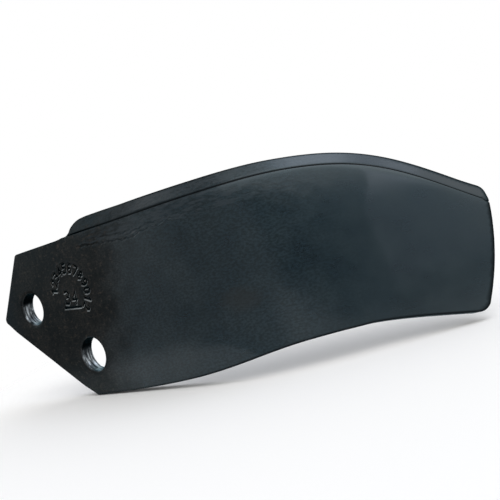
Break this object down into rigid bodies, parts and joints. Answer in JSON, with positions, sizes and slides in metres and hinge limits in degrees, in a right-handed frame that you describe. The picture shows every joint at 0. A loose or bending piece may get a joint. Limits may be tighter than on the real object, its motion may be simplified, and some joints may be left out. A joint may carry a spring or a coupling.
{
  "type": "rotary tiller blade",
  "caption": "Bent steel blade for a rotary tiller, with a drilled flat shank, a forged cutting edge along its top and a tapering tip that sweeps to one side.",
  "frame": {"origin": "on the outer face of the shank, midway between the axes of the two bolt holes", "axes": "+X along the straight cutting edge of the shank towards the tip, +Z across the bar towards the cutting edge, -Y out of the outer face, so the blade is bent towards +Y. The bolts run along Y, as they do on the rotor's flange, which stands upright."},
  "size_m": [0.2373, 0.0818, 0.0843],
  "materials": {
    "dark_steel": "blue-black, semi-gloss"
  },
  "bodies": {
    "root": {"blade": "dark_steel"}
  },
  "joints": []
}
